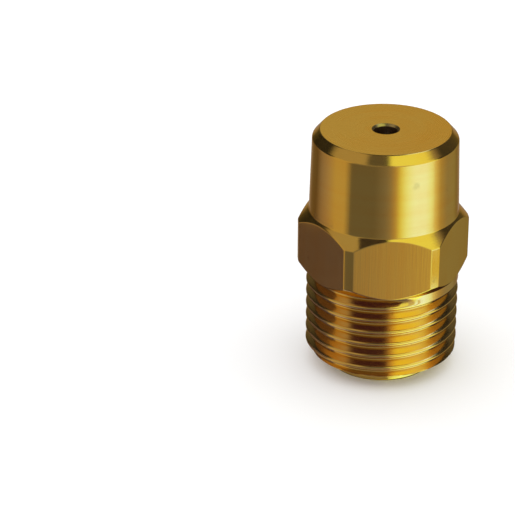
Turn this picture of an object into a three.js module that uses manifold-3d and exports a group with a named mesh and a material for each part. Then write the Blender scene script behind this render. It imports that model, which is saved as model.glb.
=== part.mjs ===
// Oil burner nozzle: a pressure-jet atomising nozzle with a G 1/2 external pipe thread.
// Millimetres, +Z up. The origin is the centre of the inlet end face, and +Z runs along the
// nozzle's axis to the spray opening. One wrench flat of the hexagon faces -Y.
import * as THREE from 'three';
import { mergeVertices } from 'three/addons/utils/BufferGeometryUtils.js';
import Module from 'manifold-3d';

// Pipe thread G 1/2, 14 threads per inch, right-hand
const THREAD_MAJOR_R = 20.955 / 2;
const THREAD_MINOR_R = 18.631 / 2;
const THREAD_PITCH = 25.4 / 14;
const THREAD_START_Z = 0.5; // height of a crest where the helix crosses the +X side
const THREAD_ROWS_PER_PITCH = 6;
const THREAD_CREST_SHARE = 0.26; // share of the pitch that is crest, and the same again is root
const THREAD_END_Z = 13.62; // the groove starts to run out where its middle is at this height
const THREAD_RUNOUT_Z = 13.78; // and is gone where its middle is at this one

// Body: inlet end, hexagon and turned head
const END_RIM_Z = 1.1; // the plug's nose stands this much proud of the body's end rim
const END_RIM_OUTER_R = 8.1;
const LEAD_IN_SLOPE = Math.tan(THREE.MathUtils.degToRad(60));
const HEX_ACROSS_FLATS = 21;
const HEX_CORNER_R = 11.7; // the six corners are turned down to this radius
const HEX_BOTTOM_Z = 14.2;
const HEX_FULL_Z = 15.5; // above the lower chamfer
const HEX_SHOULDER_Z = 21.4; // below the upper chamfer
const HEX_TOP_Z = 23.05;
const HEAD_BASE_R = 10.22;
const HEAD_TOP_R = 9.9;
const HEAD_CHAMFER_Z = 33.4;
const FACE_R = 8.85;
const FACE_Z = 34.57;

// Body: stepped bore
const PLUG_BORE_R = 7.6;
const PLUG_SHOULDER_Z = 4.3;
const CHAMBER_R = 6.9;
const CHAMBER_TOP_Z = 20;
const STACK_BORE_R = 5.7;
const STACK_BORE_Z = CHAMBER_TOP_Z + CHAMBER_R - STACK_BORE_R;
const FRONT_WALL_Z = 32.4;
const OPENING_R = 1.6;
const OPENING_MOUTH_R = 1.9;
const OPENING_CHAMFER_Z = 34.27;

// Clearance that stands for metal-to-metal contact between separate pieces
const CONTACT_GAP = 0.1;

// Inlet plug with its ring of feed holes
const PLUG_R = PLUG_BORE_R - CONTACT_GAP;
const PLUG_EDGE = 0.35;
const PLUG_BACK_Z = PLUG_SHOULDER_Z - CONTACT_GAP;
const FEED_HOLE_R = 1.3;
const FEED_CIRCLE_R = 4.75;
const FEED_TURN = 17; // degrees from a corner of the hexagon to the nearest hole
const FEED_HOLES = 6;

// Orifice disc and swirl distributor, seated on a 90 degree cone
const DISC_R = STACK_BORE_R - CONTACT_GAP;
const DISC_TOP_Z = FRONT_WALL_Z - CONTACT_GAP;
const DISC_BOTTOM_Z = 27.9;
const ORIFICE_R = 0.6;
const ORIFICE_FLARE = 0.4;
const CONE_APEX_Z = 31.65; // of the distributor's cone
const SEAT_APEX_Z = CONE_APEX_Z + CONTACT_GAP * Math.SQRT2; // of the disc's seat
const DISTRIBUTOR_R = 3.7;
const DISTRIBUTOR_TIP_R = 0.9;
const DISTRIBUTOR_BOTTOM_Z = 25.9;
const SPIGOT_R = 2;
const SPIGOT_LENGTH = 1.2;
const SWIRL_SLOTS = 4;
const SWIRL_SLOT_WIDTH = 0.6;
const SWIRL_SLOT_DEPTH = 0.5;

// Lock screw that clamps the distributor against the disc
const LOCK_SCREW_BOTTOM_Z = 22.4;
const LOCK_SCREW_TOP_Z = DISTRIBUTOR_BOTTOM_Z - CONTACT_GAP;
const LOCK_SCREW_CHAMFER = 0.4;
const LOCK_FEED_R = 0.7;
const LOCK_FEED_CIRCLE_R = 4.5;
const LOCK_FEEDS = 4;
const DRIVER_SLOT_WIDTH = 1.2;
const DRIVER_SLOT_DEPTH = 1.3;

// Strainer: drilled core, gauze sleeve, two collars and an end cap
const CORE_BORE_R = 2;
const CORE_TUBE_R = 3.3;
const CORE_LAND_R = 4.2;
const CORE_LAND_LENGTH = 1.2;
const CORE_FLANGE_R = CHAMBER_R - CONTACT_GAP;
const CORE_FLANGE_BOTTOM_Z = 18.6;
const CORE_FLANGE_TOP_Z = CHAMBER_TOP_Z - CONTACT_GAP;
const CORE_BOTTOM_Z = 8.3;
const CORE_TOP_Z = 22;
const CORE_HOLE_R = 0.7;
const CORE_HOLE_ROWS = 3;
const CORE_HOLE_SPACING = 2.5;
const GAUZE_INNER_R = CORE_LAND_R + CONTACT_GAP;
const GAUZE_OUTER_R = 4.6;
const GAUZE_TOP_Z = CORE_FLANGE_BOTTOM_Z - CONTACT_GAP;
const COLLAR_INNER_R = GAUZE_OUTER_R + CONTACT_GAP;
const COLLAR_OUTER_R = 5.1;
const COLLAR_LENGTH = 1.1;
const CAP_R = 4.9;
const CAP_BOTTOM_Z = 6;
const CAP_EDGE = 0.5;
const CAP_TOP_Z = CORE_BOTTOM_Z - CONTACT_GAP;
const CAP_SPIGOT_LENGTH = 1.6;

const ROUND_SEGMENTS = 48;
const HOLE_SEGMENTS = 16;
const OVERCUT = 1; // how far a cutter runs past the face it opens

const wasm = await Module();
wasm.setup();

const brass = () => new THREE.MeshStandardMaterial({ color: 0xc59a3a, roughness: 0.28, metalness: 1 });
const turnedBrass = () => new THREE.MeshStandardMaterial({ color: 0xb88c34, roughness: 0.4, metalness: 1 });
const steel = () => new THREE.MeshStandardMaterial({ color: 0xa9abad, roughness: 0.3, metalness: 1 });
const bronze = () => new THREE.MeshStandardMaterial({ color: 0x9c6f3c, roughness: 0.5, metalness: 1 });

// A closed three.js geometry as a solid: shared corners merged, collapsed triangles dropped
function toSolid(geometry) {
  const bare = geometry.clone();
  bare.deleteAttribute('normal');
  bare.deleteAttribute('uv');
  const merged = mergeVertices(bare, 1e-3);
  const corners = merged.index.array;
  const triangles = [];
  for (let i = 0; i < corners.length; i += 3) {
    const [a, b, c] = [corners[i], corners[i + 1], corners[i + 2]];
    if (a !== b && b !== c && c !== a) triangles.push(a, b, c);
  }
  return new wasm.Manifold(new wasm.Mesh({
    numProp: 3,
    vertProperties: new Float32Array(merged.attributes.position.array),
    triVerts: new Uint32Array(triangles),
  }));
}

function toMesh(name, solid, material) {
  const { vertProperties, triVerts, numProp } = solid.getMesh();
  const positions = new Float32Array(vertProperties.length / numProp * 3);
  for (let i = 0; i < positions.length / 3; i++) {
    for (let axis = 0; axis < 3; axis++) positions[3 * i + axis] = vertProperties[numProp * i + axis];
  }
  const geometry = new THREE.BufferGeometry();
  geometry.setAttribute('position', new THREE.BufferAttribute(positions, 3));
  geometry.setIndex(new THREE.BufferAttribute(new Uint32Array(triVerts), 1));
  geometry.computeVertexNormals();
  const mesh = new THREE.Mesh(geometry, material);
  mesh.name = name;
  return mesh;
}

// Revolves [radius, height] points round +Z. The points run anticlockwise in the (radius, height)
// plane and either start and end on the axis or close on themselves as a ring.
function revolve(points) {
  const outline = points.map(([radius, height]) => new THREE.Vector2(radius, height));
  return new THREE.LatheGeometry(outline, ROUND_SEGMENTS).rotateX(Math.PI / 2);
}

function turned(points) {
  return toSolid(revolve(points));
}

function ring(innerR, outerR, bottomZ, topZ) {
  return turned([
    [innerR, bottomZ], [outerR, bottomZ], [outerR, topZ], [innerR, topZ], [innerR, bottomZ],
  ]);
}

function drill(radius, bottomZ, topZ, x = 0, y = 0) {
  const cutter = new THREE.CylinderGeometry(radius, radius, topZ - bottomZ, HOLE_SEGMENTS);
  cutter.rotateX(Math.PI / 2).translate(x, y, (bottomZ + topZ) / 2);
  return toSolid(cutter);
}

// The same cutter repeated evenly round the axis
function cutRoundAxis(solid, cutter, count) {
  let result = solid;
  for (let i = 0; i < count; i++) result = result.subtract(cutter.rotate([0, 0, 360 / count * i]));
  return result;
}

// Groove depth from 0 at a crest to 1 at a root, for a place along the axis counted in pitches
function grooveShare(place) {
  const fromCrest = Math.abs(place - Math.round(place));
  const flank = 0.5 - THREAD_CREST_SHARE;
  return THREE.MathUtils.clamp((fromCrest - THREAD_CREST_SHARE / 2) / flank, 0, 1);
}

// Radius of the threaded shank: a right-hand helix, run out at the hexagon, with a conical lead-in
function threadRadius(angle, z) {
  const place = (z - THREAD_START_Z) / THREAD_PITCH - angle / (2 * Math.PI);
  const grooveZ = z + (Math.floor(place) + 0.5 - place) * THREAD_PITCH;
  const runOut = 1 - THREE.MathUtils.smoothstep(grooveZ, THREAD_END_Z, THREAD_RUNOUT_Z);
  const groove = (THREAD_MAJOR_R - THREAD_MINOR_R) * grooveShare(place) * runOut;
  const leadIn = END_RIM_OUTER_R + (z - END_RIM_Z) * LEAD_IN_SLOPE;
  return Math.min(THREAD_MAJOR_R - groove, leadIn);
}

function threadedShank() {
  const topZ = HEX_FULL_Z; // inside the hexagon
  const rows = Math.round((topZ - END_RIM_Z) / THREAD_PITCH * THREAD_ROWS_PER_PITCH);
  const points = [[0, END_RIM_Z]];
  for (let row = 0; row <= rows; row++) {
    points.push([THREAD_MAJOR_R, THREE.MathUtils.lerp(END_RIM_Z, topZ, row / rows)]);
  }
  points.push([0, topZ]);
  const geometry = revolve(points);
  const position = geometry.attributes.position;
  const corner = new THREE.Vector3();
  for (let i = 0; i < position.count; i++) {
    corner.fromBufferAttribute(position, i);
    if (Math.hypot(corner.x, corner.y) < 1) continue;
    const angle = Math.atan2(corner.y, corner.x);
    const radius = threadRadius(angle, corner.z);
    position.setXY(i, radius * Math.cos(angle), radius * Math.sin(angle));
  }
  return toSolid(geometry);
}

// The hexagon, with its corners turned and both ends chamfered on the lathe
function hexagon() {
  const outline = new THREE.Shape();
  for (let i = 0; i < 6; i++) {
    const angle = i * Math.PI / 3;
    const reach = HEX_ACROSS_FLATS / 2 / Math.cos(Math.PI / 6);
    outline[i === 0 ? 'moveTo' : 'lineTo'](reach * Math.cos(angle), reach * Math.sin(angle));
  }
  outline.closePath();
  const chamferSlope = (HEX_CORNER_R - THREAD_MAJOR_R) / (HEX_FULL_Z - HEX_BOTTOM_Z);
  const startZ = HEX_BOTTOM_Z - OVERCUT / 2;
  const startR = THREAD_MAJOR_R - OVERCUT / 2 * chamferSlope;
  const depth = HEX_TOP_Z - startZ;
  const prism = new THREE.ExtrudeGeometry(outline, { depth, bevelEnabled: false }).translate(0, 0, startZ);
  const turning = turned([
    [0, startZ], [startR, startZ], [HEX_CORNER_R, HEX_FULL_Z],
    [HEX_CORNER_R, HEX_SHOULDER_Z], [HEAD_BASE_R, HEX_TOP_Z], [0, HEX_TOP_Z],
  ]);
  return toSolid(prism).intersect(turning);
}

function head() {
  return turned([
    [0, HEX_SHOULDER_Z], [HEAD_BASE_R, HEX_SHOULDER_Z], [HEAD_BASE_R, HEX_TOP_Z],
    [HEAD_TOP_R, HEAD_CHAMFER_Z], [FACE_R, FACE_Z], [0, FACE_Z],
  ]);
}

// Everything that is bored out of the body, from the plug's mouth to the spray opening
function bodyBore() {
  const flare = (OPENING_MOUTH_R - OPENING_R) / (FACE_Z - OPENING_CHAMFER_Z);
  return turned([
    [0, END_RIM_Z - OVERCUT], [PLUG_BORE_R, END_RIM_Z - OVERCUT], [PLUG_BORE_R, PLUG_SHOULDER_Z],
    [CHAMBER_R, PLUG_SHOULDER_Z], [CHAMBER_R, CHAMBER_TOP_Z],
    [STACK_BORE_R, STACK_BORE_Z], [STACK_BORE_R, FRONT_WALL_Z],
    [OPENING_R, FRONT_WALL_Z], [OPENING_R, OPENING_CHAMFER_Z],
    [OPENING_MOUTH_R + OVERCUT * flare, FACE_Z + OVERCUT], [0, FACE_Z + OVERCUT],
  ]);
}

function nozzleBody() {
  return threadedShank().add(hexagon()).add(head()).subtract(bodyBore());
}

// Seven equal feed holes: one in the centre and six on a circle
function inletPlug() {
  const disc = turned([
    [0, 0], [PLUG_R - PLUG_EDGE, 0], [PLUG_R, PLUG_EDGE],
    [PLUG_R, PLUG_BACK_Z - PLUG_EDGE], [PLUG_R - PLUG_EDGE, PLUG_BACK_Z], [0, PLUG_BACK_Z],
  ]);
  const centreHole = drill(FEED_HOLE_R, -OVERCUT, PLUG_BACK_Z + OVERCUT);
  const outerHole = drill(FEED_HOLE_R, -OVERCUT, PLUG_BACK_Z + OVERCUT, FEED_CIRCLE_R).rotate([0, 0, FEED_TURN]);
  return cutRoundAxis(disc.subtract(centreHole), outerHole, FEED_HOLES);
}

function orificeDisc() {
  return turned([
    [ORIFICE_R, SEAT_APEX_Z - ORIFICE_R], [SEAT_APEX_Z - DISC_BOTTOM_Z, DISC_BOTTOM_Z],
    [DISC_R, DISC_BOTTOM_Z], [DISC_R, DISC_TOP_Z], [ORIFICE_R + ORIFICE_FLARE, DISC_TOP_Z],
    [ORIFICE_R, DISC_TOP_Z - ORIFICE_FLARE], [ORIFICE_R, SEAT_APEX_Z - ORIFICE_R],
  ]);
}

// A cone with slots that run in tangentially to the small flat at its tip
function swirlDistributor() {
  const spigotBottomZ = DISTRIBUTOR_BOTTOM_Z - SPIGOT_LENGTH;
  const blank = turned([
    [0, spigotBottomZ], [SPIGOT_R, spigotBottomZ], [SPIGOT_R, DISTRIBUTOR_BOTTOM_Z],
    [DISTRIBUTOR_R, DISTRIBUTOR_BOTTOM_Z], [DISTRIBUTOR_R, CONE_APEX_Z - DISTRIBUTOR_R],
    [DISTRIBUTOR_TIP_R, CONE_APEX_Z - DISTRIBUTOR_TIP_R], [0, CONE_APEX_Z - DISTRIBUTOR_TIP_R],
  ]);
  // A bar lying on the cone's slope, sunk by the slot's depth
  const bar = new THREE.BoxGeometry(4 * DISTRIBUTOR_R, SWIRL_SLOT_WIDTH, 2 * SWIRL_SLOT_DEPTH);
  bar.translate(2 * DISTRIBUTOR_R, 0, 0).rotateY(Math.PI / 4);
  bar.translate(0, DISTRIBUTOR_TIP_R - SWIRL_SLOT_WIDTH / 2, CONE_APEX_Z);
  return cutRoundAxis(blank, toSolid(bar), SWIRL_SLOTS);
}

function lockScrew() {
  const edgeR = DISC_R - LOCK_SCREW_CHAMFER;
  const blank = turned([
    [0, LOCK_SCREW_BOTTOM_Z], [edgeR, LOCK_SCREW_BOTTOM_Z],
    [DISC_R, LOCK_SCREW_BOTTOM_Z + LOCK_SCREW_CHAMFER],
    [DISC_R, LOCK_SCREW_TOP_Z - LOCK_SCREW_CHAMFER],
    [edgeR, LOCK_SCREW_TOP_Z], [0, LOCK_SCREW_TOP_Z],
  ]);
  const recessZ = LOCK_SCREW_TOP_Z - SPIGOT_LENGTH;
  const recess = drill(SPIGOT_R + CONTACT_GAP, recessZ, LOCK_SCREW_TOP_Z + OVERCUT);
  const slot = new THREE.BoxGeometry(3 * DISC_R, DRIVER_SLOT_WIDTH, 2 * DRIVER_SLOT_DEPTH);
  slot.translate(0, 0, LOCK_SCREW_BOTTOM_Z);
  const feedTopZ = LOCK_SCREW_TOP_Z + OVERCUT;
  const feed = drill(LOCK_FEED_R, LOCK_SCREW_BOTTOM_Z - OVERCUT, feedTopZ, LOCK_FEED_CIRCLE_R);
  return cutRoundAxis(blank.subtract(recess).subtract(toSolid(slot)), feed.rotate([0, 0, 45]), LOCK_FEEDS);
}

// A tube with two lands that carry the gauze, cross-drilled between them
function strainerCore() {
  const blank = turned([
    [CORE_BORE_R, CORE_BOTTOM_Z], [CORE_LAND_R, CORE_BOTTOM_Z],
    [CORE_LAND_R, CORE_BOTTOM_Z + CORE_LAND_LENGTH], [CORE_TUBE_R, CORE_BOTTOM_Z + CORE_LAND_LENGTH],
    [CORE_TUBE_R, CORE_FLANGE_BOTTOM_Z - CORE_LAND_LENGTH],
    [CORE_LAND_R, CORE_FLANGE_BOTTOM_Z - CORE_LAND_LENGTH], [CORE_LAND_R, CORE_FLANGE_BOTTOM_Z],
    [CORE_FLANGE_R, CORE_FLANGE_BOTTOM_Z], [CORE_FLANGE_R, CORE_FLANGE_TOP_Z],
    [DISC_R, CORE_FLANGE_TOP_Z], [DISC_R, CORE_TOP_Z], [CORE_BORE_R, CORE_TOP_Z],
    [CORE_BORE_R, CORE_BOTTOM_Z],
  ]);
  const middleZ = (CORE_BOTTOM_Z + CORE_FLANGE_BOTTOM_Z) / 2;
  let core = blank;
  for (let row = 0; row < CORE_HOLE_ROWS; row++) {
    const rowZ = middleZ + (row - (CORE_HOLE_ROWS - 1) / 2) * CORE_HOLE_SPACING;
    const through = drill(CORE_HOLE_R, -CORE_LAND_R, CORE_LAND_R).rotate([90, 0, 0]).translate([0, 0, rowZ]);
    core = core.subtract(through).subtract(through.rotate([0, 0, 90]));
  }
  return core;
}

function strainerCap() {
  const spigotR = CORE_BORE_R - CONTACT_GAP;
  return turned([
    [0, CAP_BOTTOM_Z], [CAP_R - CAP_EDGE, CAP_BOTTOM_Z], [CAP_R, CAP_BOTTOM_Z + CAP_EDGE],
    [CAP_R, CAP_TOP_Z], [spigotR, CAP_TOP_Z], [spigotR, CAP_TOP_Z + CAP_SPIGOT_LENGTH],
    [0, CAP_TOP_Z + CAP_SPIGOT_LENGTH],
  ]);
}

const gauzeSleeve = () => ring(GAUZE_INNER_R, GAUZE_OUTER_R, CORE_BOTTOM_Z, GAUZE_TOP_Z);
const frontCollar = () => ring(COLLAR_INNER_R, COLLAR_OUTER_R, GAUZE_TOP_Z - COLLAR_LENGTH, GAUZE_TOP_Z);
const rearCollar = () => ring(COLLAR_INNER_R, COLLAR_OUTER_R, CORE_BOTTOM_Z, CORE_BOTTOM_Z + COLLAR_LENGTH);

const nozzle = new THREE.Group();
nozzle.add(
  toMesh('nozzle_body', nozzleBody(), brass()),
  toMesh('inlet_plug', inletPlug(), turnedBrass()),
  toMesh('orifice_disc', orificeDisc(), steel()),
  toMesh('swirl_distributor', swirlDistributor(), steel()),
  toMesh('lock_screw', lockScrew(), turnedBrass()),
  toMesh('strainer_core', strainerCore(), turnedBrass()),
  toMesh('strainer_gauze', gauzeSleeve(), bronze()),
  toMesh('strainer_front_collar', frontCollar(), turnedBrass()),
  toMesh('strainer_rear_collar', rearCollar(), turnedBrass()),
  toMesh('strainer_cap', strainerCap(), turnedBrass()),
);

export default nozzle;
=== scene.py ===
"""Oil burner nozzle: the fine visual pieces, their materials, the studio and the camera.

Lengths are written in millimetres and turned into metres by MM when a mesh is made. The frame is the
CAD's: +Z up along the nozzle's axis, origin in the middle of the inlet face, one wrench flat facing -Y.
"""
import math
from collections import namedtuple

import bpy
import numpy as np
from mathutils import Matrix, Vector


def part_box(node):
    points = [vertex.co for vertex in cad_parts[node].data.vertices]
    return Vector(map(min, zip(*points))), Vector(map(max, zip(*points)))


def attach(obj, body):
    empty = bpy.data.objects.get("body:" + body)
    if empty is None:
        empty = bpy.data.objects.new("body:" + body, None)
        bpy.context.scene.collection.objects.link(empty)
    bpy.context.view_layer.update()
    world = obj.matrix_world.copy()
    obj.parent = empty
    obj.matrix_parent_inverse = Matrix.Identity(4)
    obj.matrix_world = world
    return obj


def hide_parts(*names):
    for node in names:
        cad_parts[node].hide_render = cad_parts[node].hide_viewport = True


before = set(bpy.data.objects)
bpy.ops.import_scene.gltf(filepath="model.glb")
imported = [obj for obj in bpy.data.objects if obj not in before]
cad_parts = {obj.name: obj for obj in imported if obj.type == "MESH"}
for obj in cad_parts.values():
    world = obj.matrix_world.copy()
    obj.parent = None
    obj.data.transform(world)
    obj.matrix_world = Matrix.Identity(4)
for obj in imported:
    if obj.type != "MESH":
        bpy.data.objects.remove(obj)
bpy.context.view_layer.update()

MM = 0.001
TAU = 2 * math.pi


def span(node):
    """Outer radius, bottom and top of a CAD node, in millimetres."""
    low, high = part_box(node)
    return high.x / MM, low.z / MM, high.z / MM


# ---------------------------------------------------------------- driving dimensions

# From the frame
_, RIM_Z, FACE_Z = span("nozzle_body")
PLUG_R, _, PLUG_TOP_Z = span("inlet_plug")
DISC_R, DISC_BOTTOM_Z, DISC_TOP_Z = span("orifice_disc")
DISTRIBUTOR_R, DISTRIBUTOR_BOTTOM_Z, DISTRIBUTOR_TOP_Z = span("swirl_distributor")
LOCK_R, LOCK_BOTTOM_Z, LOCK_TOP_Z = span("lock_screw")
FLANGE_R, CORE_BOTTOM_Z, CORE_TOP_Z = span("strainer_core")
GAUZE_R, GAUZE_BOTTOM_Z, GAUZE_TOP_Z = span("strainer_gauze")
COLLAR_R, FRONT_COLLAR_BOTTOM_Z, FRONT_COLLAR_TOP_Z = span("strainer_front_collar")
_, REAR_COLLAR_BOTTOM_Z, REAR_COLLAR_TOP_Z = span("strainer_rear_collar")
CAP_R, CAP_BOTTOM_Z, CAP_SPIGOT_TOP_Z = span("strainer_cap")
GAP = 0.1  # clearance that stands for metal-to-metal contact

# Thread G 1/2 with the rounded Whitworth form
MAJOR_R = 20.955 / 2
PITCH = 25.4 / 14
THREAD_DEPTH = 0.6403 * PITCH
THREAD_ROUND_R = 0.1373 * PITCH
THREAD_FLANK = math.radians(27.5)
THREAD_START_Z = 0.5  # height of a crest where the helix crosses the +X side
RUN_OUT_FROM_Z = 13.62  # height of the groove's middle where it starts to get shallower
RUN_OUT_TO_Z = 13.78
LEAD_IN_SLOPE = math.tan(math.radians(60))
LEAD_IN_BLEND = 0.12  # difference of radius over which the cone and a crest round into each other
RIM_OUTER_R = 8.1

# Hexagon and head
ACROSS_FLATS = 21
FLAT_CROWN = 0.05  # the flats are drawn slightly crowned: this much lower at their edges
CORNER_R = 11.7
CORNER_BLEND = 0.035  # the same for a flat and the cylinder over the corners
HEX_BOTTOM_Z = 14.2
HEX_FULL_Z = 15.5
HEX_SHOULDER_Z = 21.4
HEX_TOP_Z = 23.05
HEAD_BASE_R = 10.22
HEAD_TOP_R = 9.9
HEAD_CHAMFER_Z = 33.4
FACE_R = 8.85
BLEMISH = (3.0, -9.6, 30.35)  # a soft dark spot on the head's bright side

# Stepped bore
OPENING_R = 1.6
OPENING_MOUTH_R = 1.9
OPENING_CHAMFER_Z = FACE_Z - 0.3
FRONT_WALL_Z = DISC_TOP_Z + GAP
STACK_BORE_R = DISC_R + GAP
CHAMBER_R = FLANGE_R + GAP
CHAMBER_TOP_Z = 20
PLUG_SHOULDER_Z = PLUG_TOP_Z + GAP
PLUG_BORE_R = PLUG_R + GAP


# ---------------------------------------------------------------- mesh helpers

SHARP_DEGREES = 32  # edges that turn by more than this stay sharp


def make_object(name, vertices, faces, materials, face_materials=None, sharp_degrees=SHARP_DEGREES):
    """A mesh object from vertices in millimetres."""
    mesh = bpy.data.meshes.new(name)
    mesh.from_pydata((np.asarray(vertices, float) * MM).tolist(), [], faces)
    for material in materials:
        mesh.materials.append(material)
    if face_materials is not None:
        mesh.polygons.foreach_set("material_index", np.asarray(face_materials, np.int32))
    mesh.validate()
    mesh.shade_smooth()
    mesh.set_sharp_from_angle(angle=math.radians(sharp_degrees))
    piece = bpy.data.objects.new(name, mesh)
    bpy.context.scene.collection.objects.link(piece)
    return piece


def curve_weights(t):
    """Weights of the start, the corner and the end for a point of the curve that rounds a corner."""
    return (1 - t) ** 2, 2 * t * (1 - t), t * t


def rounded(points, radius, steps=4, support=0.06):
    """The [radius, height] outline with each inner corner rounded, and a support point on each side.

    A rounding takes at most 0.4 of a side, and a support point stands at most 0.05 of one away from it.
    """
    points = [np.asarray(p, float) for p in points]
    out = [points[0]]
    for before, corner, after in zip(points, points[1:], points[2:]):
        length_in = np.linalg.norm(before - corner)
        length_out = np.linalg.norm(after - corner)
        reach = min(radius, 0.4 * length_in, 0.4 * length_out)
        step_in = (before - corner) / length_in
        step_out = (after - corner) / length_out
        extra = min(support, 0.05 * min(length_in, length_out))
        out.append(corner + step_in * (reach + extra))
        for t in np.linspace(0, 1, steps + 1):
            at_start, at_corner, at_end = curve_weights(t)
            out.append(at_start * (corner + step_in * reach) + at_corner * corner
                       + at_end * (corner + step_out * reach))
        out.append(corner + step_out * (reach + extra))
    out.append(points[-1])
    return out


def lathe(name, points, materials, segments=160, closed=False, edge=0.08, longest=None):
    """Revolves [radius, height] points round +Z.

    They run anticlockwise, and either start and end on the axis or, if closed, form a ring whose last
    point joins its first. Stretches of the outline longer than longest are divided.
    """
    if closed:
        middle = (np.asarray(points[0], float) + np.asarray(points[-1], float)) / 2
        outline = rounded([middle, *points, middle], edge)[:-1]
    else:
        outline = rounded(points, edge)
    if longest:
        outline = divided(outline, longest)
    vertices, rings = [], []
    for radius, height in outline:
        if radius < 1e-6:
            rings.append([len(vertices)])
            vertices.append((0, 0, height))
        else:
            first = len(vertices)
            angles = np.arange(segments) * TAU / segments
            vertices.extend((radius * math.cos(a), radius * math.sin(a), height) for a in angles)
            rings.append(list(range(first, first + segments)))
    faces = []
    pairs = list(zip(rings, rings[1:])) + ([(rings[-1], rings[0])] if closed else [])
    for lower, upper in pairs:
        for i in range(segments):
            j = (i + 1) % segments
            if len(lower) == 1:
                faces.append((lower[0], upper[j], upper[i]))
            elif len(upper) == 1:
                faces.append((lower[i], lower[j], upper[0]))
            else:
                faces.append((lower[i], lower[j], upper[j], upper[i]))
    return make_object(name, vertices, faces, materials)


def divided(outline, longest):
    """The outline with points added so that no stretch is longer than longest."""
    out = []
    for start, end in zip(outline, outline[1:]):
        count = max(1, math.ceil(np.linalg.norm(end - start) / longest))
        out += [start + (end - start) * i / count for i in range(count)]
    return [*out, outline[-1]]


def placed(piece, matrix):
    """The piece with its mesh moved by the matrix."""
    piece.data.transform(matrix)
    return piece


def screw_thread(piece, radius, bottom_z, top_z, pitch, depth):
    """Presses a helical groove into the cylinder of this radius, fading out at the two heights."""
    for vertex in piece.data.vertices:
        x, y, z = (c / MM for c in vertex.co)
        if math.hypot(x, y) < radius - 0.01 or not bottom_z < z < top_z:
            continue
        place = (z - bottom_z) / pitch - math.atan2(y, x) / TAU
        share = 0.5 - 0.5 * math.cos(TAU * place)
        fade = min(1, (z - bottom_z) / pitch, (top_z - z) / pitch)
        scale = 1 - depth * share * fade / radius
        vertex.co.x *= scale
        vertex.co.y *= scale


def block(width, depth, height):
    """A box cutter centred on the origin, in millimetres."""
    ends = (-0.5, 0.5)
    corners = [(x * width, y * depth, z * height) for z in ends for y in ends for x in ends]
    sides = [(0, 2, 3, 1), (4, 5, 7, 6), (0, 1, 5, 4), (2, 6, 7, 3), (0, 4, 6, 2), (1, 3, 7, 5)]
    return make_object("cutter", corners, sides, [])


def turn_z(angle):
    """A turn round the axis."""
    return Matrix.Rotation(angle, 4, "Z")


def shift(x=0.0, y=0.0, z=0.0):
    """A shift given in millimetres."""
    return Matrix.Translation((x * MM, y * MM, z * MM))


def cut(piece, cutters):
    """Takes the cutters out of the piece and deletes them."""
    for cutter in cutters:
        modifier = piece.modifiers.new("cut", "BOOLEAN")
        modifier.operation = "DIFFERENCE"
        modifier.solver = "MANIFOLD"
        modifier.object = cutter
    graph = bpy.context.evaluated_depsgraph_get()
    result = bpy.data.meshes.new_from_object(piece.evaluated_get(graph))
    piece.modifiers.clear()
    piece.data = result
    result.shade_smooth()
    result.set_sharp_from_angle(angle=math.radians(SHARP_DEGREES))
    for cutter in cutters:
        bpy.data.objects.remove(cutter)
    return piece


def finish_piece(piece, node):
    """The piece stands for the CAD node, which is hidden, and hangs from the root body."""
    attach(piece, "root")
    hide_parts(node)


# ---------------------------------------------------------------- materials

WOBBLE_MEAN = 0.5  # millimetres by which the specks' noise shifts a place on average
RELIEF = 0.00002  # height of the marks in metres, before a material's mark_depth


def shader(name):
    """A new material with its node tree, and its Principled shader."""
    material = bpy.data.materials.new(name)
    material.use_nodes = True
    return material, material.node_tree.nodes["Principled BSDF"]


def node(tree, kind, inputs=(), **settings):
    """Adds a node. Each input is a value, or a socket to link from."""
    new = tree.nodes.new(kind)
    for key, value in settings.items():
        setattr(new, key, value)
    for key, value in dict(inputs).items():
        if isinstance(value, bpy.types.NodeSocket):
            tree.links.new(value, new.inputs[key])
        else:
            new.inputs[key].default_value = value
    return new


def math_node(tree, operation, *values):
    """The result of one operation on values or sockets."""
    return node(tree, "ShaderNodeMath", dict(enumerate(values)), operation=operation).outputs[0]


def add(tree, a, b):
    return math_node(tree, "ADD", a, b)


def times(tree, a, b):
    return math_node(tree, "MULTIPLY", a, b)


def ramp(tree, factor, stops):
    """A colour ramp from (position, grey) or (position, (r, g, b)) stops."""
    new = node(tree, "ShaderNodeValToRGB", {"Fac": factor})
    elements = new.color_ramp.elements
    for i, (position, colour) in enumerate(stops):
        element = elements[i] if i < 2 else elements.new(position)
        element.position = position
        element.color = (*((colour,) * 3 if isinstance(colour, (int, float)) else colour), 1)
    return new.outputs["Color"]


def mix_colour(tree, factor, a, b):
    """a where the factor is 0 and b where it is 1. Each is a colour or a socket."""
    new = node(tree, "ShaderNodeMix", data_type="RGBA")
    for key, value in (("Factor", factor), ("A", a), ("B", b)):
        if isinstance(value, bpy.types.NodeSocket):
            tree.links.new(value, new.inputs[key])
        else:
            new.inputs[key].default_value = (*value, 1)
    return new.outputs["Result"]


def noise(tree, vector, scale, detail, roughness):
    """Cloudy noise around 0.5."""
    inputs = {"Vector": vector, "Scale": scale, "Detail": detail, "Roughness": roughness}
    return node(tree, "ShaderNodeTexNoise", inputs).outputs["Fac"]


def object_space(tree):
    """Position in millimetres, and the same as angle round the axis, radius and height."""
    place = node(tree, "ShaderNodeTexCoord").outputs["Object"]
    scaled = node(tree, "ShaderNodeVectorMath", {0: place, 1: (1000, 1000, 1000)}, operation="MULTIPLY")
    position = scaled.outputs[0]
    parts = node(tree, "ShaderNodeSeparateXYZ", {"Vector": position}).outputs
    angle = math_node(tree, "ARCTAN2", parts["Y"], parts["X"])
    squares = add(tree, times(tree, parts["X"], parts["X"]), times(tree, parts["Y"], parts["Y"]))
    return position, angle, math_node(tree, "SQRT", squares), parts["Z"]


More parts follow.
